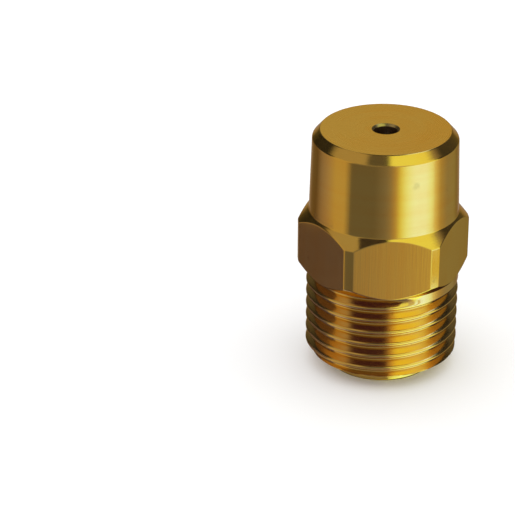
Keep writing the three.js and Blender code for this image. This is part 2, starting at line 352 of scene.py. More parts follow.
def round_position(tree, angle, radius_scale, other, other_scale):
    """A vector that closes on itself round the axis: a circle of radius_scale, and a second measure."""
    x = times(tree, math_node(tree, "COSINE", angle), radius_scale)
    y = times(tree, math_node(tree, "SINE", angle), radius_scale)
    z = times(tree, other, other_scale)
    return node(tree, "ShaderNodeCombineXYZ", {"X": x, "Y": y, "Z": z}).outputs[0]


def mark_vectors(tree, marks, position, angle, radius, height):
    """Noise vectors for the fine and the broad machining marks: long with the tool, fine across it."""
    if marks == "plain":
        return position, position
    # What the marks cross, then (scale round the axis, scale across them) of the fine and the broad ones
    crossed, fine, broad = {
        "rings": (height, (0.6, 9.0), (0.35, 1.1)),
        "face": (radius, (0.5, 11.0), (0.6, 0.9)),
        "draw": (height, (60.0, 0.12), (14.0, 0.05)),
    }[marks]
    return [round_position(tree, angle, around, crossed, across) for around, across in (fine, broad)]


def speck_pattern(tree, position, blemish):
    """A few dark specks with ragged edges, as a share from 0 to 1."""
    wobble = node(tree, "ShaderNodeTexNoise", {"Vector": position, "Scale": 1.6, "Detail": 2.0})
    shaken = node(tree, "ShaderNodeVectorMath", {0: position, 1: wobble.outputs["Color"]}, operation="ADD")
    shaken = shaken.outputs[0]
    specks = node(tree, "ShaderNodeTexVoronoi", {"Vector": shaken, "Scale": 0.2, "Randomness": 1.0})
    pattern = ramp(tree, specks.outputs["Distance"], [(0.02, 0.42), (0.07, 0.0)])
    if not blemish:
        return pattern
    centre = [c + WOBBLE_MEAN for c in blemish]
    away = node(tree, "ShaderNodeVectorMath", {0: shaken, 1: centre}, operation="DISTANCE").outputs["Value"]
    return math_node(tree, "MAXIMUM", pattern, ramp(tree, away, [(0.25, 0.24), (0.7, 0.0)]))


def metal(name, colour, roughness, marks, mark_depth=0.3, tarnish=(0.55, 0.40, 0.22), tarnish_share=0.35,
          painted_shade_towards_x=0.0, blemish=None):
    """Brass, bronze or steel with machining marks.

    marks is "rings" for a turned cylinder, "face" for a faced end, "draw" for lines drawn along the
    axis, or "plain" for a surface without a direction. painted_shade_towards_x is painted shade: how
    much the colour moves towards the tarnish colour per millimetre towards +X, darkening that side.
    blemish is the place of one more soft spot.
    """
    material, principled = shader(name)
    tree = material.node_tree
    principled.inputs["Metallic"].default_value = 1.0
    principled.inputs["Specular Tint"].default_value = (*[min(1, 0.35 + 0.6 * c) for c in colour], 1)
    position, angle, radius, height = object_space(tree)
    fine_vector, broad_vector = mark_vectors(tree, marks, position, angle, radius, height)
    fine_marks = noise(tree, fine_vector, scale=1.0, detail=4.0, roughness=0.6)
    broad_marks = noise(tree, broad_vector, scale=1.0, detail=2.0, roughness=0.5)
    cloud = noise(tree, position, scale=0.16, detail=3.0, roughness=0.55)
    grain = noise(tree, position, scale=9.0, detail=2.0, roughness=0.6)
    speck = speck_pattern(tree, position, blemish)

    # Colour: base to tarnish in clouds and in the marks, and darker in the specks
    mixed = add(tree, times(tree, cloud, 0.6), times(tree, broad_marks, 0.4))
    # Painted shade: the colour moves towards the tarnish colour per millimetre towards +X, so that side is
    # darker because of how the light falls on it
    if painted_shade_towards_x:
        sideways = node(tree, "ShaderNodeSeparateXYZ", {"Vector": position}).outputs["X"]
        mixed = add(tree, mixed, times(tree, sideways, painted_shade_towards_x))
    stain = ramp(tree, mixed, [(0.42, 0.0), (0.68, tarnish_share)])
    stained = mix_colour(tree, stain, colour, [c * t / max(tarnish) for c, t in zip(colour, tarnish)])
    speckled = mix_colour(tree, speck, stained, [0.45 * c for c in colour])
    tree.links.new(speckled, principled.inputs["Base Color"])

    # Roughness: varies with the marks and the clouds, and grows in the specks
    unevenness = add(tree, times(tree, fine_marks, 0.5), times(tree, cloud, 0.5))
    limits = {"From Min": 0.35, "From Max": 0.65, "To Min": roughness[0], "To Max": roughness[1]}
    rough = node(tree, "ShaderNodeMapRange", {"Value": unevenness, **limits}).outputs[0]
    tree.links.new(add(tree, rough, times(tree, speck, 0.25)), principled.inputs["Roughness"])

    # Relief of the marks, the grain and the pits under the specks
    relief = add(tree, fine_marks, times(tree, grain, 0.25))
    relief = math_node(tree, "SUBTRACT", relief, times(tree, speck, 0.5))
    bump = node(tree, "ShaderNodeBump", {"Height": relief, "Strength": mark_depth, "Distance": RELIEF})
    tree.links.new(bump.outputs["Normal"], principled.inputs["Normal"])
    return material


BRASS = (0.80, 0.50, 0.12)
THREAD_BRASS = (0.80, 0.52, 0.16)
TURNED_BRASS = (0.82, 0.56, 0.13)
FACED_BRASS = (0.81, 0.54, 0.16)
# Painted shade: a darker brass for the opening's mouth, standing in for the shade inside the chamfer
SHADED_RIM_BRASS = (0.46, 0.34, 0.15)
# Painted shade: a dark brown for the inside of the bore, standing in for the shade deep in the hole
BORE_SHADE_BRASS = (0.16, 0.09, 0.05)
STEEL = (0.58, 0.57, 0.55)
BRONZE = (0.46, 0.29, 0.13)

head_brass = metal("brass_head_turned", BRASS, (0.09, 0.16), "rings", blemish=BLEMISH)
# Painted shade: the opening's chamfer is darker brass for the shade that falls in the mouth of the hole
shaded_rim_brass = metal("brass_opening_rim_painted_shade", SHADED_RIM_BRASS, (0.25, 0.35), "rings")
# Painted shade: the faced end is darker towards +X
face_brass = metal("brass_face_turned", FACED_BRASS, (0.20, 0.30), "face", tarnish=(0.50, 0.42, 0.30),
                   tarnish_share=0.7, painted_shade_towards_x=0.012)
flat_brass = metal("brass_flats_drawn", BRASS, (0.10, 0.18), "draw")
thread_brass = metal("brass_thread", THREAD_BRASS, (0.10, 0.18), "rings", mark_depth=0.2)
# Painted shade: the bore inside the body is coloured dark to stand in for the shade in the hole
shaded_bore_brass = metal("brass_bore_painted_shade", BORE_SHADE_BRASS, (0.35, 0.5), "rings")
plug_brass = metal("brass_plug_faced", TURNED_BRASS, (0.2, 0.3), "face")
inner_brass = metal("brass_inner_turned", TURNED_BRASS, (0.22, 0.34), "rings")
lapped_steel = metal("steel_lapped", STEEL, (0.14, 0.24), "face", tarnish=(0.6, 0.58, 0.55))
gauze_bronze = metal("bronze_gauze", BRONZE, (0.35, 0.5), "plain")


# ---------------------------------------------------------------- nozzle body

ROW_MARGIN = 0.05  # height between the end of a zone and the nearest row in it
ROWS_PER_PITCH = 22
LEAD_IN_ROWS = 22

# A corner of the body's profile: radius and height, one value per column, the zone of the stretch that
# follows, how many rows divide that stretch, and the radius of the corner's rounding
Corner = namedtuple("Corner", "radius height zone rows rounding")


def column_angles():
    """Angles of the columns round the body, close together at the flats' edges.

    They are laid out in degrees from a flat's middle to the hexagon's corner, and mirrored there.
    """
    edge = math.degrees(math.acos((ACROSS_FLATS / 2 - FLAT_CROWN) / CORNER_R))
    half = [*np.linspace(0, edge - 0.9, 13), edge - 0.35, edge - 0.12, edge + 0.12, edge + 0.35,
            *np.linspace(edge + 0.9, 30, 4)]
    sector = np.array([*half, *(60 - a for a in reversed(half[1:-1]))])
    return np.radians(np.concatenate([sector + 60 * k - 90 for k in range(6)]))


def soft_min(a, b, blend):
    """The smaller of two arrays, with the change-over rounded."""
    share = np.clip(0.5 + 0.5 * (b - a) / blend, 0, 1)
    return b + (a - b) * share - blend * share * (1 - share)


def hexagon_radius(angle):
    """Radius of the crowned flats, and of the cylinder that cuts the hexagon's corners."""
    from_flat = (angle + math.pi / 2 + math.pi / 6) % (math.pi / 3) - math.pi / 6
    edge = math.acos(ACROSS_FLATS / 2 / CORNER_R)
    crown = FLAT_CROWN * (np.tan(from_flat) / math.tan(edge)) ** 2
    flats = (ACROSS_FLATS / 2 - crown) / np.cos(from_flat)
    return soft_min(flats, np.full_like(angle, CORNER_R), CORNER_BLEND)


def thread_radius(angle, z):
    """Rounded crests and roots joined by straight flanks, running out below the hexagon."""
    place = (z - THREAD_START_Z) / PITCH - angle / TAU
    groove_z = z + (np.floor(place) + 0.5 - place) * PITCH
    run_out = 1 - smooth_step((groove_z - RUN_OUT_FROM_Z) / (RUN_OUT_TO_Z - RUN_OUT_FROM_Z))
    from_crest = np.abs(place - np.round(place)) * PITCH
    return MAJOR_R - whitworth_depth(from_crest) * run_out


def whitworth_depth(from_crest):
    """Depth below the crest at a distance along the axis from it, up to half a pitch."""
    reach = THREAD_ROUND_R * math.cos(THREAD_FLANK)

    def arc(distance):
        return np.sqrt(np.maximum(THREAD_ROUND_R ** 2 - np.minimum(distance, reach) ** 2, 0))

    from_root = PITCH / 2 - from_crest
    top = THREAD_ROUND_R - arc(from_crest)
    bottom = THREAD_DEPTH - THREAD_ROUND_R + arc(from_root)
    straight = THREAD_ROUND_R * (1 - math.sin(THREAD_FLANK)) + (from_crest - reach) / math.tan(THREAD_FLANK)
    return np.where(from_crest < reach, top, np.where(from_root < reach, bottom, straight))


def smooth_step(x):
    """0 below 0, 1 above 1 and smooth between."""
    x = np.clip(x, 0, 1)
    return x * x * (3 - 2 * x)


def thread_rows():
    """Heights of the rows between the end rim and the hexagon."""
    lead_in_top = RIM_Z + (MAJOR_R - RIM_OUTER_R) / LEAD_IN_SLOPE
    count = round((HEX_BOTTOM_Z - lead_in_top) / PITCH * ROWS_PER_PITCH)
    return [*np.linspace(RIM_Z + ROW_MARGIN, lead_in_top, LEAD_IN_ROWS),
            *np.linspace(lead_in_top, HEX_BOTTOM_Z - ROW_MARGIN, count)[1:]]


def body_rows(angle):
    """The body's closed profile as rows of (radius, height, zone), each an array over the columns."""
    ones = np.ones_like(angle)
    hexagon_r = hexagon_radius(angle)
    lower_slope = (HEX_FULL_Z - HEX_BOTTOM_Z) / (CORNER_R - MAJOR_R)
    upper_slope = (HEX_TOP_Z - HEX_SHOULDER_Z) / (CORNER_R - HEAD_BASE_R)
    low_z = HEX_BOTTOM_Z + (hexagon_r - MAJOR_R) * lower_slope
    high_z = HEX_SHOULDER_Z + (CORNER_R - hexagon_r) * upper_slope
    stack_bore_z = CHAMBER_TOP_Z + CHAMBER_R - STACK_BORE_R

    rows = []
    for z in thread_rows():
        lead_in = RIM_OUTER_R + (z - RIM_Z) * LEAD_IN_SLOPE
        radius = soft_min(thread_radius(angle, z * ones), lead_in * ones, LEAD_IN_BLEND)
        rows.append((radius, z * ones, "thread"))

    corners = [
        (MAJOR_R, HEX_BOTTOM_Z - ROW_MARGIN, "thread", 1, 0),
        (MAJOR_R, HEX_BOTTOM_Z, "chamfer", 5, 0.02),
        (hexagon_r, low_z, "flat", 14, 0.10),
        (hexagon_r, high_z, "chamfer", 6, 0.10),
        (HEAD_BASE_R, HEX_TOP_Z, "head", 24, 0.10),
        (HEAD_TOP_R, HEAD_CHAMFER_Z, "head", 6, 0.15),
        (FACE_R, FACE_Z, "face", 16, 0.12),
        (OPENING_MOUTH_R, FACE_Z, "opening", 3, 0.04),
        (OPENING_R, OPENING_CHAMFER_Z, "bore", 3, 0.04),
        (OPENING_R, FRONT_WALL_Z, "bore", 6, 0.05),
        (STACK_BORE_R, FRONT_WALL_Z, "bore", 10, 0.1),
        (STACK_BORE_R, stack_bore_z, "bore", 3, 0.1),
        (CHAMBER_R, CHAMBER_TOP_Z, "bore", 12, 0.1),
        (CHAMBER_R, PLUG_SHOULDER_Z, "bore", 2, 0.05),
        (PLUG_BORE_R, PLUG_SHOULDER_Z, "bore", 5, 0.1),
        (PLUG_BORE_R, RIM_Z, "face", 3, 0.08),
        (RIM_OUTER_R, RIM_Z, "thread", 1, 0.05),
        (rows[0][0], rows[0][1], "thread", 1, 0),
    ]
    corners = [Corner(radius * ones, height * ones, *rest) for radius, height, *rest in corners]
    rows[-1] = corners[0][:3]  # the first corner stands for the thread's last row
    for before, corner, after in zip(corners, corners[1:], corners[2:]):
        rows.extend(corner_rows(before, corner, after))
    return rows


def corner_rows(before, corner, after):
    """A corner's rounding, and the plain rows of the stretch that follows.

    A rounding takes at most 0.35 of a side, and a support row stands at most 0.05 mm away from it.
    """
    in_r, in_z = before.radius - corner.radius, before.height - corner.height
    out_r, out_z = after.radius - corner.radius, after.height - corner.height
    in_length, out_length = np.hypot(in_r, in_z), np.hypot(out_r, out_z)
    reach = np.minimum(corner.rounding, 0.35 * np.minimum(in_length, out_length))
    support = np.minimum(0.05, 0.1 * np.minimum(in_length, out_length))

    def on_side(side_r, side_z, length, distance):
        return corner.radius + side_r / length * distance, corner.height + side_z / length * distance

    rows = [(*on_side(in_r, in_z, in_length, reach + support), before.zone)]
    start = on_side(in_r, in_z, in_length, reach)
    end = on_side(out_r, out_z, out_length, reach)
    for t in np.linspace(0, 1, 5):
        at_start, at_corner, at_end = curve_weights(t)
        rows.append((at_start * start[0] + at_corner * corner.radius + at_end * end[0],
                     at_start * start[1] + at_corner * corner.height + at_end * end[1],
                     before.zone if t < 0.5 else corner.zone))
    rows.append((*on_side(out_r, out_z, out_length, reach + support), corner.zone))
    next_reach = np.minimum(after.rounding, 0.35 * out_length) + support
    for share in np.linspace(0, 1, corner.rows + 1)[1:-1]:
        distance = reach + support + share * (out_length - reach - support - next_reach)
        rows.append((*on_side(out_r, out_z, out_length, distance), corner.zone))
    return rows


def nozzle_body():
    """The body as a grid of rows and columns that closes on itself both ways."""
    angle = column_angles()
    rows = body_rows(angle)
    zone_materials = {"thread": thread_brass, "chamfer": head_brass, "flat": flat_brass, "head": head_brass,
                      "face": face_brass, "opening": shaded_rim_brass, "bore": shaded_bore_brass}
    zones = list(zone_materials)
    materials = list(zone_materials.values())
    columns = len(angle)
    vertices = np.concatenate([
        np.stack([radius * np.cos(angle), radius * np.sin(angle), height], axis=1)
        for radius, height, _ in rows])
    faces, face_materials = [], []
    for row in range(len(rows)):
        above = (row + 1) % len(rows)
        zone = zones.index(rows[row][2])
        for column in range(columns):
            beside = (column + 1) % columns
            faces.append((row * columns + column, row * columns + beside,
                          above * columns + beside, above * columns + column))
            face_materials.append(zone)
    return make_object("nozzle_body_fine", vertices, faces, materials, face_materials, sharp_degrees=40)


finish_piece(nozzle_body(), "nozzle_body")


# ---------------------------------------------------------------- inlet plug and the pieces inside

FEED_HOLE_R = 1.3
FEED_CIRCLE_R = 4.75
FEED_HOLES = 6
FEED_TURN = math.radians(17)  # from a corner of the hexagon to the nearest hole
HOLE_CHAMFER = 0.12
PLUG_EDGE = 0.35
CUTTER_EDGE = 0.01  # rounding of a cutter's corners


def chamfered_drill(radius, bottom_z, top_z, chamfer, x=0.0, turn=0.0, segments=48):
    """A cutter for a hole through from bottom_z to top_z, with both rims chamfered at 45 degrees."""
    over = 0.4
    points = [(0, bottom_z - over), (radius + chamfer + over, bottom_z - over), (radius, bottom_z + chamfer),
              (radius, top_z - chamfer), (radius + chamfer + over, top_z + over), (0, top_z + over)]
    return placed(lathe("cutter", points, [], segments, edge=CUTTER_EDGE), turn_z(turn) @ shift(x))


def drill(radius, bottom_z, top_z, segments=48):
    """A plain round cutter."""
    points = [(0, bottom_z), (radius, bottom_z), (radius, top_z), (0, top_z)]
    return lathe("cutter", points, [], segments, edge=CUTTER_EDGE)


def inlet_plug():
    """A round plate with one hole in the middle and a circle of others."""
    blank = lathe("inlet_plug_fine", [
        (0, 0), (PLUG_R - PLUG_EDGE, 0), (PLUG_R, PLUG_EDGE), (PLUG_R, PLUG_TOP_Z - PLUG_EDGE),
        (PLUG_R - PLUG_EDGE, PLUG_TOP_Z), (0, PLUG_TOP_Z)], [plug_brass], segments=240)
    holes = [chamfered_drill(FEED_HOLE_R, 0, PLUG_TOP_Z, HOLE_CHAMFER)]
    for k in range(FEED_HOLES):
        turn = FEED_TURN + TAU * k / FEED_HOLES
        holes.append(chamfered_drill(FEED_HOLE_R, 0, PLUG_TOP_Z, HOLE_CHAMFER, x=FEED_CIRCLE_R, turn=turn))
    return cut(blank, holes)


# Seat and cone at 90 degrees, and the slots that swirl the oil
ORIFICE_R = 0.6
ORIFICE_FLARE = 0.4
CONE_TIP_R = 0.9
CONE_APEX_Z = DISTRIBUTOR_TOP_Z + CONE_TIP_R
SEAT_APEX_Z = CONE_APEX_Z + GAP * math.sqrt(2)
SPIGOT_R = 2
SPIGOT_LENGTH = 1.2
SWIRL_SLOTS = 4
SWIRL_SLOT_WIDTH = 0.6
SWIRL_SLOT_DEPTH = 0.5


def orifice_disc():
    """A disc with the conical seat below, the orifice and its flare above."""
    return lathe("orifice_disc_fine", [
        (ORIFICE_R, SEAT_APEX_Z - ORIFICE_R), (SEAT_APEX_Z - DISC_BOTTOM_Z, DISC_BOTTOM_Z),
        (DISC_R, DISC_BOTTOM_Z), (DISC_R, DISC_TOP_Z), (ORIFICE_R + ORIFICE_FLARE, DISC_TOP_Z),
        (ORIFICE_R, DISC_TOP_Z - ORIFICE_FLARE)], [lapped_steel], closed=True, edge=0.1)


def swirl_distributor():
    """A cone on a spigot, with slots that pass beside the axis."""
    bottom_z, shoulder_z = DISTRIBUTOR_BOTTOM_Z, DISTRIBUTOR_BOTTOM_Z + SPIGOT_LENGTH
    blank = lathe("swirl_distributor_fine", [
        (0, bottom_z), (SPIGOT_R, bottom_z), (SPIGOT_R, shoulder_z), (DISTRIBUTOR_R, shoulder_z),
        (DISTRIBUTOR_R, CONE_APEX_Z - DISTRIBUTOR_R), (CONE_TIP_R, DISTRIBUTOR_TOP_Z),
        (0, DISTRIBUTOR_TOP_Z)], [lapped_steel], edge=0.06)
    beside_axis = CONE_TIP_R - SWIRL_SLOT_WIDTH / 2
    down_the_cone = Matrix.Rotation(math.pi / 4, 4, "Y")
    lie_on_cone = shift(0, beside_axis, CONE_APEX_Z) @ down_the_cone @ shift(2 * DISTRIBUTOR_R)
    bars = []
    for k in range(SWIRL_SLOTS):
        bar = block(4 * DISTRIBUTOR_R, SWIRL_SLOT_WIDTH, 2 * SWIRL_SLOT_DEPTH)
        bars.append(placed(bar, turn_z(TAU * k / SWIRL_SLOTS) @ lie_on_cone))
    return cut(blank, bars)


LOCK_CHAMFER = 0.4
LOCK_FEED_R = 0.7
LOCK_FEED_CHAMFER = 0.1
LOCK_FEED_CIRCLE_R = 4.5
LOCK_FEEDS = 4
DRIVER_SLOT_WIDTH = 1.2
DRIVER_SLOT_DEPTH = 1.3
FINE_PITCH = 0.75  # screw threads of the lock screw and the strainer
FINE_DEPTH = 0.35
FINE_STEP = 0.07  # longest stretch of an outline that is to carry such a thread


def lock_screw():
    """A threaded plug with a recess for the spigot, a driver slot and feed holes."""
    low, high, edge_r = LOCK_BOTTOM_Z, LOCK_TOP_Z, LOCK_R - LOCK_CHAMFER
    blank = lathe("lock_screw_fine", [
        (0, low), (edge_r, low), (LOCK_R, low + LOCK_CHAMFER), (LOCK_R, high - LOCK_CHAMFER),
        (edge_r, high), (0, high)], [inner_brass], edge=0.06, longest=FINE_STEP)
    screw_thread(blank, LOCK_R, low + LOCK_CHAMFER, high - LOCK_CHAMFER, FINE_PITCH, FINE_DEPTH)
    recess = drill(SPIGOT_R + GAP, high - SPIGOT_LENGTH, high + 1)
    slot = placed(block(3 * LOCK_R, DRIVER_SLOT_WIDTH, 2 * DRIVER_SLOT_DEPTH), shift(z=low))
    feeds = []
    for k in range(LOCK_FEEDS):
        turn = TAU * (k + 0.5) / LOCK_FEEDS
        feeds.append(chamfered_drill(LOCK_FEED_R, low, high, LOCK_FEED_CHAMFER, LOCK_FEED_CIRCLE_R, turn, 32))
    return cut(blank, [recess, slot, *feeds])


# Strainer: drilled core, woven sleeve, two collars and an end cap
CORE_BORE_R = 2
CORE_TUBE_R = 3.3
CORE_LAND_R = GAUZE_R - 0.4
CORE_LAND_LENGTH = 1.2
CORE_THREAD_R = DISC_R
CORE_HOLE_R = 0.7
CORE_HOLE_ROWS = 3
CORE_HOLE_SPACING = 2.5
WIRE_R = 0.065
WIRE_SIDES = 6
WIRE_GAP = 0.005  # half the gap between crossing wires
WIRE_MARGIN = 0.02  # height between the sleeve's ends and its first and last ring
WARP_WIRES = 56
WEFT_WIRES = 20
COLLAR_INNER_R = GAUZE_R + GAP
CAP_EDGE = 0.5
CAP_TOP_Z = CORE_BOTTOM_Z - GAP


def strainer_core():
    """A drilled tube with a land at each end of the gauze, a flange and a threaded neck."""
    flange_bottom_z, flange_top_z = GAUZE_TOP_Z + GAP, CHAMBER_TOP_Z - GAP
    blank = lathe("strainer_core_fine", [
        (CORE_BORE_R, CORE_BOTTOM_Z), (CORE_LAND_R, CORE_BOTTOM_Z),
        (CORE_LAND_R, CORE_BOTTOM_Z + CORE_LAND_LENGTH), (CORE_TUBE_R, CORE_BOTTOM_Z + CORE_LAND_LENGTH),
        (CORE_TUBE_R, flange_bottom_z - CORE_LAND_LENGTH), (CORE_LAND_R, flange_bottom_z - CORE_LAND_LENGTH),
        (CORE_LAND_R, flange_bottom_z), (FLANGE_R, flange_bottom_z), (FLANGE_R, flange_top_z),
        (CORE_THREAD_R, flange_top_z), (CORE_THREAD_R, CORE_TOP_Z), (CORE_BORE_R, CORE_TOP_Z)],
        [inner_brass], closed=True, edge=0.08, longest=FINE_STEP)
    screw_thread(blank, CORE_THREAD_R, flange_top_z + 0.1, CORE_TOP_Z - 0.1, FINE_PITCH, FINE_DEPTH)
    middle_z = (CORE_BOTTOM_Z + flange_bottom_z) / 2
    holes = []
    for row in range(CORE_HOLE_ROWS):
        row_z = middle_z + (row - (CORE_HOLE_ROWS - 1) / 2) * CORE_HOLE_SPACING
        for turn in (0, math.pi / 2):
            across = shift(z=row_z) @ turn_z(turn) @ Matrix.Rotation(math.pi / 2, 4, "X")
            holes.append(placed(drill(CORE_HOLE_R, -CORE_LAND_R, CORE_LAND_R, 32), across))
    return cut(blank, holes)


def wire(path, closed):
    """Vertices and faces of a wire along a path of points, given as (n, 3)."""
    ahead = np.roll(path, -1, 0) - np.roll(path, 1, 0)
    if not closed:
        ahead[0], ahead[-1] = path[1] - path[0], path[-1] - path[-2]
    ahead /= np.linalg.norm(ahead, axis=1)[:, None]
    outward = path * (1, 1, 0) / np.linalg.norm(path[:, :2], axis=1)[:, None]
    across = np.cross(ahead, outward)
    across /= np.linalg.norm(across, axis=1)[:, None]
    outward = np.cross(across, ahead)
    sides = WIRE_SIDES
    turns = np.arange(sides) * TAU / sides
    rings = (path[:, None] + WIRE_R * (np.cos(turns)[:, None] * outward[:, None]
                                      + np.sin(turns)[:, None] * -across[:, None]))
    count = len(path)
    faces = [((i * sides + k), (i * sides + (k + 1) % sides),
              ((i + 1) % count * sides + (k + 1) % sides), ((i + 1) % count * sides + k))
             for i in range(count if closed else count - 1) for k in range(sides)]
    if not closed:
        faces.append(tuple(range(sides))[::-1])
        faces.append(tuple((count - 1) * sides + k for k in range(sides)))
    return rings.reshape(-1, 3), faces


def strainer_gauze():
    """Plain weave: upright wires and rings that pass in front of and behind each other in turn."""
    middle_r = GAUZE_R - WIRE_R * 2 - WIRE_GAP
    swing = WIRE_R + WIRE_GAP
    low, high = GAUZE_BOTTOM_Z + WIRE_R + WIRE_MARGIN, GAUZE_TOP_Z - WIRE_R - WIRE_MARGIN
    per_crossing = 4
    paths = []
    steps = np.arange(WARP_WIRES * per_crossing) / per_crossing
    for ring in range(WEFT_WIRES):
        radius = middle_r + swing * np.cos(math.pi * (steps + ring))
        angle = TAU * steps / WARP_WIRES
        height = low + (high - low) * ring / (WEFT_WIRES - 1)
        paths.append((np.stack([radius * np.cos(angle), radius * np.sin(angle),
                                np.full_like(angle, height)], 1), True))
    rises = np.linspace(0, WEFT_WIRES - 1, (WEFT_WIRES - 1) * per_crossing + 1)
    for upright in range(WARP_WIRES):
        radius = middle_r - swing * np.cos(math.pi * (rises + upright))
        angle = TAU * upright / WARP_WIRES
        height = low + (high - low) * rises / (WEFT_WIRES - 1)
        paths.append((np.stack([radius * math.cos(angle), radius * math.sin(angle), height], 1), False))
    vertices, faces, count = [], [], 0
    for path, closed in paths:
        corners, sides = wire(path, closed)
        vertices.append(corners)
        faces += [tuple(index + count for index in side) for side in sides]
        count += len(corners)
    return make_object("strainer_gauze_fine", np.concatenate(vertices), faces, [gauze_bronze])


def collar(name, bottom_z, top_z):
    """A ring round the gauze."""
    return lathe(name, [(COLLAR_INNER_R, bottom_z), (COLLAR_R, bottom_z), (COLLAR_R, top_z),
                        (COLLAR_INNER_R, top_z)], [inner_brass], closed=True, edge=0.12)


def strainer_cap():
    """A cap with a spigot that closes the core's bore."""
    spigot_r = CORE_BORE_R - GAP
    return lathe("strainer_cap_fine", [
        (0, CAP_BOTTOM_Z), (CAP_R - CAP_EDGE, CAP_BOTTOM_Z), (CAP_R, CAP_BOTTOM_Z + CAP_EDGE),
        (CAP_R, CAP_TOP_Z), (spigot_r, CAP_TOP_Z), (spigot_r, CAP_SPIGOT_TOP_Z),
        (0, CAP_SPIGOT_TOP_Z)], [inner_brass], edge=0.1)


finish_piece(inlet_plug(), "inlet_plug")
finish_piece(orifice_disc(), "orifice_disc")
finish_piece(swirl_distributor(), "swirl_distributor")
finish_piece(lock_screw(), "lock_screw")
finish_piece(strainer_core(), "strainer_core")
finish_piece(strainer_gauze(), "strainer_gauze")
finish_piece(collar("strainer_front_collar_fine", FRONT_COLLAR_BOTTOM_Z, FRONT_COLLAR_TOP_Z),
             "strainer_front_collar")
finish_piece(collar("strainer_rear_collar_fine", REAR_COLLAR_BOTTOM_Z, REAR_COLLAR_TOP_Z),
             "strainer_rear_collar")
finish_piece(strainer_cap(), "strainer_cap")


# ---------------------------------------------------------------- studio

CAMERA_AZIMUTH = -7.367  # degrees from facing the front flat, to its left
CAMERA_ELEVATION = 25.85
CAMERA_DISTANCE = 319
CAMERA_LENS = 162.35
TARGET_Z = 17.5  # height on the axis that the camera circles round
AIM_LEFT = 17.16  # the camera aims this far to the left of that point, and below it
AIM_BELOW = 2.38

# What the brass reflects, as (degrees to the right of the camera's side, colour), in layers by height
DARK = (0.16, 0.16, 0.17)
BLACK = (0.02, 0.02, 0.025)
GOLD = (0.56, 0.48, 0.26)
DULL_GOLD = (0.43, 0.39, 0.28)
FACE = (0.50, 0.44, 0.24)
SCREEN = (1.09, 1.62, 2.60)
YELLOW = (0.98, 1.16, 0.42)
SIDE = (0.31, 0.29, 0.28)
RIM_LIGHT = (0.65, 0.65, 0.5)
PATCH = (0.11, 0.11, 0.12)
DIM = (0.26, 0.25, 0.24)
REAR = (0.42, 0.40, 0.38)
DEEP_GOLD = (0.56, 0.68, 1.4)  # for the thread's grooves, where brass reflects brass
DEEP_SCREEN = (1.28, 1.92, 0.8)
DEEP_DARK = (0.06, 0.03, 0.2)
LOWEST_REAR = (0.3, 0.28, 0.25)
LOWEST_LAYER = [
    (-180, LOWEST_REAR), (-150, BLACK), (-100, (0.07, 0.07, 0.2)), (-88, (0.4, 0.46, 0.8)),
    (-80, DEEP_GOLD), (-62, DEEP_GOLD), (-50, DEEP_DARK), (10, DEEP_DARK), (20, (0.8, 0.8, 1.0)),
    (30, DEEP_SCREEN), (76, DEEP_SCREEN), (86, (0.6, 0.55, 0.6)), (96, (0.08, 0.07, 0.2)), (150, BLACK),
    (180, LOWEST_REAR)]
LOW_LAYER = [
    (-180, REAR), (-162, REAR), (-148, (0.20, 0.18, 0.20)), (-128, (0.15, 0.12, 0.12)),
    (-114, (0.30, 0.26, 0.32)), (-96, (0.43, 0.36, 0.33)), (-80, GOLD), (-62, GOLD), (-52, DARK), (-14, DARK),
    (2, (0.23, 0.23, 0.26)), (10, (0.32, 0.30, 0.28)), (18, (0.54, 0.43, 0.23)), (26, (0.9, 1.05, 0.4)),
    (36, (1.02, 1.48, 1.5)), (48, SCREEN), (66, SCREEN), (78, (1.0, 1.45, 1.5)), (86, (0.8, 0.8, 0.5)),
    (96, (0.48, 0.42, 0.24)), (112, (0.33, 0.33, 0.33)), (134, (0.33, 0.36, 0.40)), (148, (0.26, 0.25, 0.22)),
    (162, REAR), (180, REAR)]
MIDDLE_LAYER = [
    (-180, FACE), (-168, FACE), (-158, (0.12, 0.12, 0.11)), (-138, BLACK), (-92, BLACK), (-84, GOLD),
    (-56, GOLD), (-46, DIM), (8, DIM), (20, RIM_LIGHT), (30, RIM_LIGHT), (50, YELLOW), (82, YELLOW),
    (90, BLACK), (136, (0.06, 0.06, 0.07)), (158, (0.14, 0.14, 0.13)), (168, FACE), (180, FACE)]
HIGH_LAYER = [
    (-180, FACE), (-165, FACE), (-150, BLACK), (-112, BLACK), (-96, DULL_GOLD), (-36, DULL_GOLD),
    (-28, DARK), (4, DARK), (12, FACE), (20, YELLOW), (84, YELLOW), (96, SIDE), (112, BLACK), (150, BLACK),
    (165, FACE), (180, FACE)]
UPPER_LAYER = [
    (-180, BLACK), (-160, BLACK), (-145, DULL_GOLD), (-44, DULL_GOLD), (-34, PATCH), (6, PATCH), (16, YELLOW),
    (90, YELLOW), (105, SCREEN), (145, SCREEN), (160, BLACK), (180, BLACK)]

# (sines of the elevations between which the layer takes over from the one below, layer)
LAYERS = [
    (-0.985, -0.955, LOWEST_LAYER), (-0.54, -0.48, LOW_LAYER), (-0.08, 0.02, MIDDLE_LAYER),
    (0.50, 0.57, HIGH_LAYER), (0.765, 0.80, UPPER_LAYER)]
CEILING_FROM, CEILING_FULL = 0.93, 0.96
CEILING = (0.05, 0.05, 0.05)
GROUND = (0.52, 0.46, 0.30)
PLAIN_WHITE = (1.3, 1.3, 1.3)
FLOOR_R = 900
FLOOR_THICKNESS = 2


def smooth_between(tree, value, low, high):
    """0 below low, 1 above high and smooth between."""
    return node(tree, "ShaderNodeMapRange", {"Value": value, "From Min": low, "From Max": high},
                interpolation_type="SMOOTHSTEP").outputs[0]


